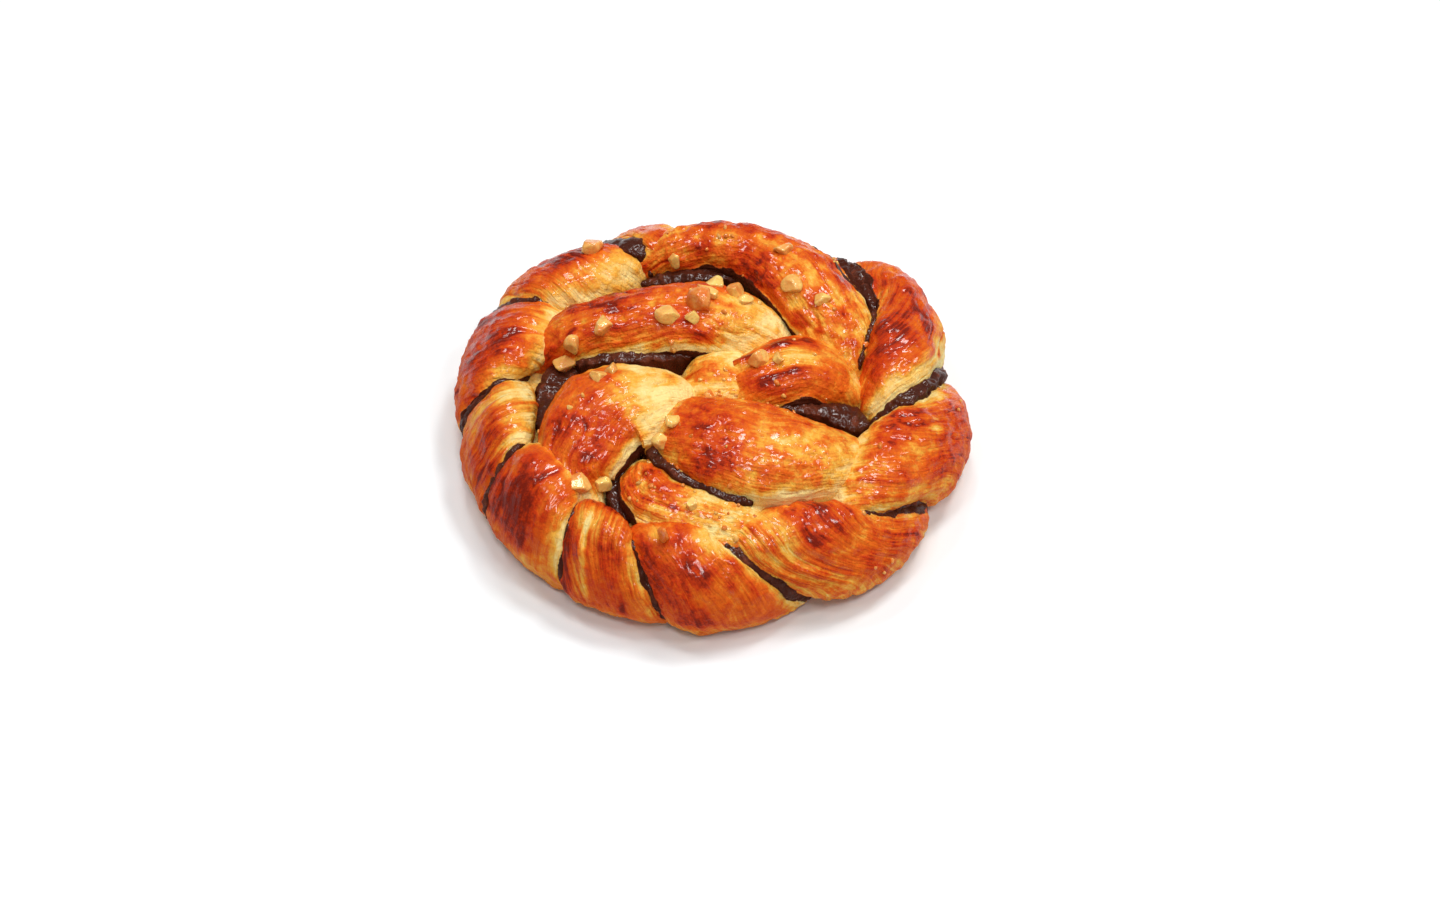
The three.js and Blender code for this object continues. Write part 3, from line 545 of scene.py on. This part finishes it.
def lobe(spine, shape, seed, mean, sizes):
    """A lobe: its section, then relief along its normals, a floor that flattens it, and its browning, with
    painted shade darkening its creases.
    Lumps, folds along the dough's run, broken terraces at cut edges, blisters and smears of chocolate add up
    to the relief."""
    guess = spine(np.linspace(0, 1, 50))
    run = np.linalg.norm(np.diff(guess[0], axis=0), axis=1).sum()
    width = 2 * np.linalg.norm(guess[1], axis=1).max() + guess[3].max()
    cell = sizes.cell / MM
    rows = int(np.clip(run * 1.15 / cell, *LOBE_ROWS))
    top = int(np.clip(width * 1.1 / cell, *LOBE_TOP))
    s = (np.arange(rows) + 0.5) / rows
    v = s - END_CROWDING * np.sin(2 * np.pi * s)
    grid = section(spine, shape.ends, v, top, LOBE_UNDER)
    facing = normals(grid)
    from_b, from_a, total = distances(grid, top, LOBE_UNDER)
    middle = grid.mean(1)
    travelled = np.cumsum(np.linalg.norm(np.gradient(middle, axis=0), axis=1))
    travelled = np.broadcast_to(travelled[:, None], from_b.shape)
    drift = noise(grid, 12, seed + 1, 2)
    grain = np.stack([travelled, from_b - total / 2 + 2.2 * drift, np.full_like(travelled, 40.0 * seed)], -1)

    wander = noise(grain, (9, 6, 7), seed + 3, 2)
    a_width, b_width = shape.margins
    edge_a = 1 - from_a / (a_width * (1 + 0.5 * wander))
    edge_b = 1 - from_b / (b_width * (1 + 0.5 * wander))
    margin = np.clip(np.maximum(edge_a, edge_b), 0, 1) ** 0.5
    nearest = np.minimum(from_a, from_b)
    layer = nearest / (sizes.layer_height / MM) + 1.5 * noise(grain, (13, 5, 7), seed + 5, 2)
    broken = smooth(-0.35, 0.35, noise(grain, (9, 2.6, 7), seed + 6))
    terrace = (smooth(0.0, 0.4, layer % 1) - layer % 1) * broken
    fold = noise(grain, (19, 2.9, 7), seed + 7, 2) + 0.45 * noise(grain, (9, 1.5, 7), seed + 8)
    folded = shape.pleats * smooth(-0.7, 0.5, noise(grid, 9, seed + 21)) + 0.25 * margin
    lumps = noise(grid, 10, seed + 9, 2)
    pucker = noise(grid, 3.4, seed + 10, 2)
    bumpy = smooth(-0.2, 0.5, noise(grid, 6.5, seed + 13))
    dome = blisters(grid, 2.2, seed + 11) * bumpy + 0.5 * blisters(grid, 1.3, seed + 12)

    place = 1 - 2 * from_b / np.maximum(total, 1e-6)
    stain = np.zeros_like(place)
    for side, start, end, wide in shape.stains:
        reach = (wide + 0.2) * np.sin(np.pi * smooth(start, end, v))[:, None] ** 0.4
        reach = reach * (1 + 0.6 * noise(grain, (4, 3, 7), seed + 23, 2))
        stain = np.maximum(stain, smooth(0.35, -0.35, (from_b if side > 0 else from_a) - reach)
                           * (reach > 0.15))
    below = smooth(-0.1, -0.5, facing[..., 2])
    stain = stain * (1 - below)
    clods = noise(grid, 1.9, seed + 25, 2)
    wrinkle = noise(grain, (5, 1.25, 7), seed + 27) + 0.5 * noise(grid, 1.4, seed + 28)
    pebble = noise(grid, 1.5, seed + 29) * (0.3 + shape.mottle * bumpy)

    # Creases along the dough's run: cut into the relief, and also drawn darker in the colour as painted shade
    shaded_crease = smooth(0.14, 0.0, np.abs(noise(grain, (15, 5, 7), seed + 31, 2)))
    shaded_crease = shaded_crease * smooth(0.0, 0.5, noise(grid, 8, seed + 32))
    crown = 1 - margin
    height = (lumps * sizes.lump_height + pucker * sizes.pucker_height + pebble * sizes.pebble_height
              + wrinkle * (0.6 + 0.7 * folded) * sizes.wrinkle_height
              + terrace * margin * sizes.layer_depth + fold * folded * sizes.pleat_depth
              + dome * crown * (1 - stain) * sizes.blister_height) / MM
    height = height - shaded_crease * sizes.crease_depth / MM + stain * (0.25 + 0.4 * clods)
    taper = end_taper(v, shape.ends)[:, None]
    grid = grid + facing * (height * taper)[..., None]
    radius = np.hypot(grid[..., 0], grid[..., 1])
    floor = FLOOR_GAP + RIM_LIFT * smooth(BASE_EDGE + 0.5, BASE_EDGE - 1.5, radius)
    grid[..., 2] = floor + FLOOR_SOFTNESS * np.logaddexp(0, (grid[..., 2] - floor) / FLOOR_SOFTNESS)

    ragged = 0.35 * noise(grid, 3, seed + 17, 2) + 0.25 * noise(grain, (8, 1.4, 7), seed + 18, 2)
    brown = shape.brown + 0.12 * lumps + 0.14 * noise(grain, (10, 3.5, 7), seed + 15, 2)
    for at, side, long, wide, amount in shape.patches:
        distance = np.hypot((v[:, None] - at) / long, (place - side) / wide) + ragged
        brown = brown + amount * smooth(1.5, 0.3, distance)
    raised = grid[..., 2] - looked_up(mean, grid)
    brown = brown + 0.05 * np.clip(raised, -7, 2) * smooth(57, 47, radius)
    brown = brown + shape.mottle * (0.3 * noise(grid, 2.4, seed + 19, 2) + 0.12 * dome)
    # The crease term darkens the creases: painted shade in the folds, added to the browning
    brown = brown + 0.36 * fold * folded - 0.22 * margin + 0.12 * pucker + 0.25 * shaded_crease
    lip = smooth(0.75, 0.98, layer % 1) * margin * broken
    brown = (brown + 0.3 * lip) * (1 - below) + 0.5 * below
    fields = {"brown": np.clip(brown, 0, 1), "brushed": smooth(0.3, 0.85, facing[..., 2]),
              "streaked": np.clip(0.25 + folded + 0.6 * margin, 0, 1),
              "stain": stain, "grain": grain, "mottle": np.full_like(brown, shape.mottle)}
    return closed_tube(grid, fields)


# Filling

def ribbon(top, foot, width, seed):
    """A sheet of filling from its top edge down to its foot: straight sides and a domed ridge, whose
    height and width waver along it, roughened along its normals."""
    guess = top(np.linspace(0, 1, 40))
    run = np.linalg.norm(np.diff(guess, axis=0), axis=1).sum()
    v = np.linspace(0, 1, int(max(run / RIBBON_STEP, RIBBON_ROWS)))
    edge = top(v)
    inward = foot(v) - edge
    reach = np.linalg.norm(inward, axis=1)
    inward = inward / reach[:, None]
    side = unit(np.cross(direction(top, v), inward))
    travelled = np.stack([v * run, 0 * v, np.full_like(v, 30.0 * seed)], -1)
    half = width(v) / 2 * (1 + 0.4 * noise(travelled, 3.2, seed, 3))
    half = half * np.sqrt(np.clip(np.minimum(v, 1 - v) * 14 + 0.05, 0, 1))
    lift = 0.7 * noise(travelled, 2.6, seed + 1, 3)
    t = np.pi * np.arange(DOME_POINTS + 1) / DOME_POINTS
    x = np.concatenate([np.cos(t), np.full(LEG_POINTS, -1.0), np.linspace(-1, 1, SOLE_POINTS + 2)[1:-1],
                        np.full(LEG_POINTS, 1.0)])
    ridge = np.minimum(half, RIDGE)[:, None]
    leg = ridge + (reach[:, None] - ridge) * np.linspace(0, 1, LEG_POINTS + 1)[1:] ** 1.5
    down = np.concatenate([(1 - np.sin(t))[None] * ridge - lift[:, None] * np.sin(t), leg,
                           np.repeat(reach[:, None], SOLE_POINTS, 1), leg[:, ::-1]], 1)
    grid = (edge[:, None] + side[:, None] * (half[:, None] * x)[..., None]
            + inward[:, None] * down[..., None])
    rough = (0.5 * noise(grid, 2.2, seed + 2, 3) + 0.2 * noise(grid, 0.8, seed + 4)
             + 0.3 * blisters(grid, 2.1, seed + 5) - 0.1)
    grid = grid + normals(grid) * rough[..., None]
    grid[..., 2] = np.maximum(grid[..., 2], FILLING_FLOOR)
    dry = np.clip(0.5 + 0.6 * noise(grid, 2.2, seed + 8, 2), 0, 1)
    return closed_tube(grid, {"dry": dry, "upward": smooth(0.2, 0.8, normals(grid)[..., 2])})


def groove_ribbon(order):
    """The filling in a groove of the outer turn, down to the rope's centre line."""
    bearing, _, _, width, rise = GROOVES[order]
    points = groove_points(GROOVES[order])
    mean = sum(bearing) / len(bearing)
    place = lambda v: GROOVE_START + v * (GROOVE_END - GROOVE_START)
    linear = lambda values, v: np.interp(place(v), np.linspace(0, 1, 4), values)
    foot = lambda v: polar((linear(bearing, v) + mean) / 2, CORE_RADIUS, CORE_HEIGHT)

    def top(v):
        edge = curve(points, place(v))
        return edge + unit(edge - foot(v)) * linear(rise, v)[:, None]

    return ribbon(top, foot, lambda v: linear(width, v), 100 + 7 * order)


def inner_ribbon(order):
    """The filling between two inner lobes, straight down."""
    path, width = INNER_FINS[order]
    top = lambda v: curve(path, v)
    foot = lambda v: curve(path, v) * (1, 1, 0) + (0, 0, FIN_FOOT)
    return ribbon(top, foot, lambda v: np.interp(v, np.linspace(0, 1, len(width)), width),
                  300 + 7 * order)


# Inside and underside

def core_surface():
    """The soft inside: the profile turned round the axis. Seams, each a bell curve across its line, press
    the coil and the twist into the flat underside, and the top is uneven where it shows between lobes."""
    profile = np.array(CORE_PROFILE, float)
    lengths = np.concatenate([[0], np.cumsum(np.linalg.norm(np.diff(profile, axis=0), axis=1))])
    steps, columns = CORE_GRID
    s = np.linspace(0, lengths[-1], steps)[1:-1]
    radius = np.interp(s, lengths, profile[:, 0])
    height = np.interp(s, lengths, profile[:, 1])
    bearing = np.arange(columns) * 360 / columns
    grid = polar(np.broadcast_to(bearing, (len(s), columns)), radius[:, None], height[:, None])
    under = smooth(1.5, 0.2, grid[..., 2])
    reach = radius[:, None]
    wander = noise(grid, 16, 61, 3)

    def spoke(line, width):
        """A seam that leaves the middle along a line of bearings."""
        gap = (bearing - line + 180) % 360 - 180
        return np.exp(-(np.radians(gap) * reach / width) ** 2)

    seam = np.exp(-((reach - 33 - 5 * wander - 0.012 * (bearing - 180)) / 1.1) ** 2)
    for groove in GROOVES:
        line = groove[0][3] + 26 + (reach - BASE_EDGE) * 2.2 + 9 * wander
        seam = np.maximum(seam, spoke(line, 1.0) * smooth(33, 36, reach))
    for start in range(20, 360, 58):
        line = start + (reach - 30) * 2.2 - 16 * wander
        seam = np.maximum(seam, spoke(line, 1.1) * smooth(33, 30, reach) * smooth(6, 10, reach))
    seam = seam * smooth(-0.55, 0.25, noise(grid, 10, 69, 2))
    lift = under * (0.8 * seam + 0.2 * (1 + noise(grid, 4, 63, 3)))
    uneven = (1 - under) * 0.3 * noise(grid, 5, 65, 2)
    grid[..., 2] = grid[..., 2] + lift + uneven
    brown = (0.64 + 0.45 * noise(grid, 9, 67, 3) - 0.26 * seam) * under + 0.2 * (1 - under)
    zero = np.zeros_like(brown)
    grain = np.stack([grid[..., 0], grid[..., 1], zero], -1)
    return closed_tube(grid, {"brown": np.clip(brown, 0, 1), "brushed": zero, "streaked": zero + 0.2,
                              "stain": zero, "grain": grain, "mottle": zero + 0.5})


# Nuts

def chip(size, turn, tilt, seed, steps=(26, 40)):
    """A chip of nut: directions over a sphere, each as far out as the nearest of some random planes, joined
    by a power mean so that the edges are slightly worn, then stretched to its size and turned. With it comes
    a random number from -0.5 to 0.5 for the plane that each point lies on."""
    rng = np.random.default_rng(seed)
    planes = unit(rng.normal(size=(NUT_PLANES, 3)))
    far = rng.uniform(0.6, 1.0, NUT_PLANES)
    rows, columns = steps
    a = (np.arange(rows) + 0.5) / rows * np.pi
    b = np.arange(columns) / columns * 2 * np.pi
    ray = np.stack([np.sin(a)[:, None] * np.cos(b), np.sin(a)[:, None] * np.sin(b),
                    np.cos(a)[:, None] * np.ones(columns)], -1)
    hit = np.maximum(ray @ planes.T, 0.1) / far
    radius = np.sum(hit ** NUT_WEAR, -1) ** (-1 / NUT_WEAR)
    grid = ray * np.minimum(radius, 1.25)[..., None]
    grid = grid * (1 + 0.03 * noise(grid, 0.4, seed, 2))[..., None] * np.asarray(size) / 2
    face = rng.uniform(-0.5, 0.5, NUT_PLANES)[np.argmax(hit, -1)]
    c, s = math.cos(math.radians(turn)), math.sin(math.radians(turn))
    d, e = math.cos(math.radians(tilt)), math.sin(math.radians(tilt))
    tilted = grid @ np.array([[1, 0, 0], [0, d, e], [0, -e, d]])
    return tilted @ np.array([[c, s, 0], [-s, c, 0], [0, 0, 1]]), face


def nut_parts():
    """The chopped nuts at their places."""
    parts = []
    for number, (x, y, z, long, wide, high, turn, roast) in enumerate(NUTS):
        size = np.array((long, wide, high)) * NUT_SCALE
        grid, face = chip(size, turn, 20 * math.sin(3.1 * number), 500 + number)
        roasted = roast - 0.05 + 0.5 * face + 0.25 * noise(grid, 1.6, 520 + number, 2)
        parts.append(closed_tube(grid + (x, y, z), {"roast": np.clip(roasted, 0, 1)}))
    return joined(parts)


def crumb_parts(heights):
    """Small crumbs of nut, at random places of the crowns that some lobes turn up and leave uncovered."""
    rng = np.random.default_rng(77)
    parts = []
    for name, count in CRUMBS.items():
        mesh = bpy.data.objects[name].data
        places = np.empty(3 * len(mesh.vertices))
        mesh.vertices.foreach_get("co", places)
        places = places.reshape(-1, 3) / MM + CENTRE
        open_places = places[places[:, 2] > looked_up(heights, places) - 0.4]
        for place in open_places[rng.integers(len(open_places), size=count)]:
            size = rng.uniform(0.8, 2) * rng.uniform(0.5, 1, 3)
            grid = chip(size, rng.uniform(0, 360), rng.uniform(-40, 40), int(rng.integers(1e6)), (5, 8))[0]
            roast = np.full(grid.shape[:2], rng.uniform(0.35, 1))
            parts.append(closed_tube(grid + place, {"roast": roast}))
    return joined(parts)


# Materials

class Value:
    """A socket of a shader, so that arithmetic on it adds Math nodes."""

    def __init__(self, shader, socket):
        self.shader, self.socket = shader, socket

    def math(self, operation, *others):
        """One Math node on this value and others."""
        return self.shader.node("ShaderNodeMath", {"operation": operation}, dict(enumerate((self, *others))))

    def __add__(self, other):
        return self.math("ADD", other)

    __radd__ = __add__

    def __mul__(self, other):
        return self.math("MULTIPLY", other)

    __rmul__ = __mul__

    def __sub__(self, other):
        return self.math("SUBTRACT", other)

    def __rsub__(self, other):
        return self.shader.node("ShaderNodeMath", {"operation": "SUBTRACT"}, {0: other, 1: self})

    def clamped(self):
        """This value held from 0 to 1."""
        return self.shader.node("ShaderNodeClamp", {}, {0: self})

    def ramp(self, low, high):
        """A smooth step from 0 at low to 1 at high."""
        return self.shader.node("ShaderNodeMapRange", {"interpolation_type": "SMOOTHSTEP"},
                                {0: self, 1: low, 2: high, 3: 0.0, 4: 1.0})


class Shader:
    """A material with one Principled BSDF, and short ways to add nodes to it."""

    def __init__(self, name):
        self.material = bpy.data.materials.new(name)
        self.material.use_nodes = True
        self.tree = self.material.node_tree
        self.surface = self.tree.nodes["Principled BSDF"]

    def node(self, kind, settings, inputs, output=0):
        """Adds a node: its settings first, then its sockets, and returns one of its outputs."""
        added = self.tree.nodes.new(kind)
        for name, value in settings.items():
            if name == "stops":
                ramp = added.color_ramp
                while len(ramp.elements) < len(value):
                    ramp.elements.new(0.5)
                for element, (position, shade) in zip(ramp.elements, value):
                    element.position = position
                    element.color = (*shade, 1)
            else:
                setattr(added, name, value)
        for name, value in inputs.items():
            self.plug(added.inputs[name], value)
        return Value(self, added.outputs[output])

    def plug(self, socket, value):
        """Links a value to a socket, or sets the socket to a number or colour."""
        if isinstance(value, Value):
            self.tree.links.new(value.socket, socket)
        elif socket.type == "RGBA":
            socket.default_value = (*value, 1)
        else:
            socket.default_value = value

    def place(self):
        """The point's own place on the object."""
        return self.node("ShaderNodeTexCoord", {}, {}, "Object")

    def bumped(self, strength, distance, height):
        """A normal bent by a height."""
        return self.node("ShaderNodeBump", {}, {"Strength": strength, "Distance": distance,
                                                "Height": height}, "Normal")

    def field(self, name, output="Fac"):
        """An attribute of the mesh."""
        return self.node("ShaderNodeAttribute", {"attribute_name": name}, {}, output)

    def noise(self, vector, scale, detail=3.0, roughness=0.55):
        """Noise from 0 to 1."""
        return self.node("ShaderNodeTexNoise", {}, {"Vector": vector, "Scale": scale, "Detail": detail,
                                                    "Roughness": roughness})

    def mixed(self, factor, first, second):
        """A colour between two, by a factor."""
        return self.node("ShaderNodeMix", {"data_type": "RGBA"}, {0: factor, 6: first, 7: second}, 2)

    def stretched(self, vector, factors):
        """A vector times another, part by part."""
        return self.node("ShaderNodeVectorMath", {"operation": "MULTIPLY"}, {0: vector, 1: factors})

    def finish(self, **sockets):
        """Sets the surface's sockets, their names with underscores for spaces."""
        for name, value in sockets.items():
            self.plug(self.surface.inputs[name.replace("_", " ")], value)
        return self.material


def crust_material(colours):
    """Egg-washed crust: the browning picks the colour from crumb to dark, streaks run with the grain where
    the dough is drawn out, flecks stay pale, the glaze is uneven, and chocolate covers the stained edges."""
    shader = Shader("glazed_crust")
    place = shader.place()
    grain = shader.field("grain", "Vector")
    streaked, stain, mottle = shader.field("streaked"), shader.field("stain"), shader.field("mottle")
    streak = shader.noise(shader.stretched(grain, (0.09, 0.95, 1.0)), 1.0, 5.0, 0.62)
    patch = shader.noise(place, 300.0, 5.0, 0.62)
    speck = shader.noise(place, 950.0, 2.0, 0.5)
    ridges = shader.noise(shader.stretched(grain, (0.3, 1.5, 1.0)), 1.0, 1.0, 0.5)
    fine = shader.noise(place, 2300.0, 2.0, 0.6)
    fleck = speck.ramp(0.56, 0.68) * patch.ramp(0.4, 0.6) * mottle
    brown = (shader.field("brown") + (streak - 0.5) * 1.05 * streaked + (patch - 0.5) * (mottle * 0.5 + 0.35)
             + (speck - 0.5) * (mottle * 0.3 + 0.2) + (fine - 0.5) * 0.15 - fleck * 0.3).clamped()
    baked = shader.node("ShaderNodeValToRGB", {"stops": [
        (0.0, colours.crumb), (0.3, colours.golden), (0.56, colours.orange), (0.83, colours.red_brown),
        (1.0, colours.dark)]}, {0: brown})
    smeared = (stain + (speck - 0.5) * 0.9 + (fine - 0.5) * 0.5).ramp(0.42, 0.6)
    tinged = (stain + (patch - 0.5) * 0.9).ramp(0.1, 0.7)
    shade = shader.mixed(tinged * 0.45, baked, colours.chocolate_dry)
    shade = shader.mixed(smeared, shade, colours.chocolate)
    glazed = brown.ramp(0.1, 0.5) * (patch + (speck - 0.5) * 0.6).ramp(0.3, 0.6) * shader.field("brushed")
    bumps = (patch * 0.9 + speck * 0.5 + fine * 0.15 + streak * streaked * 0.7
             + ridges * (0.3 + streaked * 0.3))
    normal = shader.bumped(0.9, 0.0009, bumps)
    return shader.finish(Base_Color=shade, Roughness=0.5 - glazed * 0.15, Normal=normal,
                         Coat_Weight=0.06 + glazed * (0.64 - smeared * 0.4), Coat_Roughness=0.12,
                         Coat_IOR=1.5, Specular_IOR_Level=0.05, Subsurface_Weight=0.05,
                         Subsurface_Radius=(0.002, 0.0008, 0.0003), Subsurface_Scale=1.0)


def filling_material(colours):
    """Baked chocolate: dark and glossy, with dry crumbly patches."""
    shader = Shader("baked_chocolate")
    place = shader.place()
    grains = shader.noise(place, 1700.0, 4.0, 0.7)
    clods = shader.noise(place, 480.0, 3.0, 0.6)
    dry = (shader.field("dry") + (grains - 0.5) * 0.8 + (clods - 0.5) * 0.5).ramp(0.5, 1.1)
    shade = shader.mixed(dry, colours.chocolate, colours.chocolate_dry)
    normal = shader.bumped(0.8, 0.0007, grains * 0.6 + clods)
    return shader.finish(Base_Color=shade, Roughness=0.35 + dry * 0.3, Normal=normal,
                         Specular_IOR_Level=0.08, Coat_Weight=shader.field("upward") * (0.5 - dry * 0.5),
                         Coat_Roughness=0.1)


def nut_material(colours):
    """Chopped nut: pale cut faces, roasted faces, a thin glaze."""
    shader = Shader("chopped_nut")
    place = shader.place()
    spots = shader.noise(place, 700.0, 4.0, 0.6)
    fine = shader.noise(place, 2400.0, 2.0, 0.6)
    roast = (shader.field("roast") + (spots - 0.5) * 0.9 + (fine - 0.5) * 0.3).clamped()
    shade = shader.mixed(roast, colours.nut_pale, colours.nut_roast)
    normal = shader.bumped(0.6, 0.0005, spots + fine * 0.4)
    return shader.finish(Base_Color=shade, Roughness=0.35, Normal=normal, Coat_Weight=0.7,
                         Coat_Roughness=0.06, Specular_IOR_Level=0.2, Subsurface_Weight=0.25,
                         Subsurface_Radius=(0.002, 0.001, 0.0005), Subsurface_Scale=1.0)


def material_of(name, make):
    """The named material, made once."""
    return bpy.data.materials.get(name) or make(bpy.context.scene.bun_colours)


# Operators

class BUN_OT_lobes(bpy.types.Operator):
    """Makes the twelve lobes of the outer turn and the seven of the inner turn"""

    bl_idname = "bun.lobes"
    bl_label = "Lobes"

    def execute(self, context):
        crust = material_of("glazed_crust", crust_material)
        mean = surroundings()[1]
        for name, spine, shape, seed in lobes():
            part = lobe(spine, shape, seed, mean, context.scene.bun_sizes)
            piece(name, part, crust, "dough")
        return {"FINISHED"}


class BUN_OT_core(bpy.types.Operator):
    """Makes the soft inside of the coil with the baked underside"""

    bl_idname = "bun.core"
    bl_label = "Inside and underside"

    def execute(self, context):
        crust = material_of("glazed_crust", crust_material)
        piece("coil_inside", core_surface(), crust, "dough")
        return {"FINISHED"}


class BUN_OT_filling(bpy.types.Operator):
    """Makes the chocolate filling in the grooves"""

    bl_idname = "bun.filling"
    bl_label = "Chocolate filling"

    def execute(self, context):
        chocolate = material_of("baked_chocolate", filling_material)
        outer = joined([groove_ribbon(order) for order in range(len(GROOVES))])
        inner = joined([inner_ribbon(order) for order in range(len(INNER_FINS))])
        piece("outer_filling", outer, chocolate, "chocolate_filling")
        piece("inner_filling", inner, chocolate, "chocolate_filling")
        return {"FINISHED"}


class BUN_OT_nuts(bpy.types.Operator):
    """Makes the chopped nuts and their crumbs on the lobes"""

    bl_idname = "bun.nuts"
    bl_label = "Chopped nuts"

    def execute(self, context):
        nut = material_of("chopped_nut", nut_material)
        piece("chopped_nuts", nut_parts(), nut, "dough")
        piece("nut_crumbs", crumb_parts(surroundings()[0]), nut, "dough")
        return {"FINISHED"}


# Small soft lamps over the bun, the first at its upper right the strongest: place, size, watts
LAMPS = [((0.54, 0.54, 1.53), 0.36, 9.6), ((-0.63, 0.45, 1.44), 0.25, 3.4), ((0.04, -0.76, 1.53), 0.25, 3.7),
         ((-0.54, -0.45, 1.62), 0.25, 3.1), ((0.76, -0.36, 1.44), 0.25, 3.7), ((0.0, 0.18, 1.71), 0.29, 4.6),
         ((-0.14, 0.9, 1.35), 0.25, 3.4), ((1.08, 0.22, 1.08), 0.25, 2.4), ((0.3, -1.25, 1.05), 0.2, 1.8)]
CAMERA_DISTANCE = 0.782
CAMERA_RISE = math.radians(50)
AIM = (0.002223, -0.000212)
LENS, SENSOR = 85, 36
FLOOR_COLOUR = (0.91, 0.955, 0.97)
ROOM_LIGHT = 0.12


class BUN_OT_stage(bpy.types.Operator):
    """Makes the floor, the lights and the camera"""

    bl_idname = "bun.stage"
    bl_label = "Stage"

    def execute(self, context):
        scene = context.scene
        mesh = bpy.data.meshes.new("floor")
        mesh.from_pydata([(-2, -2, 0), (2, -2, 0), (2, 2, 0), (-2, 2, 0)], [], [(0, 1, 2, 3)])
        floor = placed("floor", mesh)
        shader = Shader("pale_floor")
        mesh.materials.append(shader.finish(Base_Color=FLOOR_COLOUR, Roughness=0.9))

        world = bpy.data.worlds.new("soft_room")
        scene.world = world
        world.use_nodes = True
        background = world.node_tree.nodes["Background"].inputs
        background["Color"].default_value = (1, 1, 1, 1)
        background["Strength"].default_value = ROOM_LIGHT
        for number, (place, size, watts) in enumerate(LAMPS):
            light = bpy.data.lights.new(f"lamp_{number}", "AREA")
            light.size, light.energy = size, watts
            lamp = placed(light.name, light)
            lamp.location = place
            lamp.rotation_euler = (-Vector(place)).to_track_quat("-Z", "Y").to_euler()

        lens = bpy.data.cameras.new("camera")
        lens.lens, lens.sensor_width = LENS, SENSOR
        camera = placed("camera", lens)
        camera.location = (AIM[0], AIM[1] - CAMERA_DISTANCE * math.cos(CAMERA_RISE),
                           CAMERA_DISTANCE * math.sin(CAMERA_RISE))
        camera.rotation_euler = (math.pi / 2 - CAMERA_RISE, 0, 0)
        scene.camera = camera
        scene.view_settings.view_transform = "Standard"
        return {"FINISHED"}


OPERATORS = (BUN_OT_core, BUN_OT_lobes, BUN_OT_filling, BUN_OT_nuts, BUN_OT_stage)


class BUN_PT_panel(bpy.types.Panel):
    """Lists the steps that build the bun"""

    bl_idname = "BUN_PT_panel"
    bl_label = "Knot bun"
    bl_space_type = "VIEW_3D"
    bl_region_type = "UI"
    bl_category = "Bun"

    def draw(self, context):
        for group in (context.scene.bun_sizes, context.scene.bun_colours):
            for name in group.__annotations__:
                self.layout.prop(group, name)
        for step in OPERATORS:
            self.layout.operator(step.bl_idname)


CLASSES = (BunSizes, BunColours, *OPERATORS, BUN_PT_panel)


def register():
    for each in CLASSES:
        bpy.utils.register_class(each)
    bpy.types.Scene.bun_sizes = bpy.props.PointerProperty(type=BunSizes)
    bpy.types.Scene.bun_colours = bpy.props.PointerProperty(type=BunColours)


def unregister():
    del bpy.types.Scene.bun_colours
    del bpy.types.Scene.bun_sizes
    for each in reversed(CLASSES):
        bpy.utils.unregister_class(each)


def main():
    register()
    bpy.ops.bun.core()
    bpy.ops.bun.lobes()
    bpy.ops.bun.filling()
    bpy.ops.bun.nuts()
    bpy.ops.bun.stage()


if __name__ == "__main__":
    main()
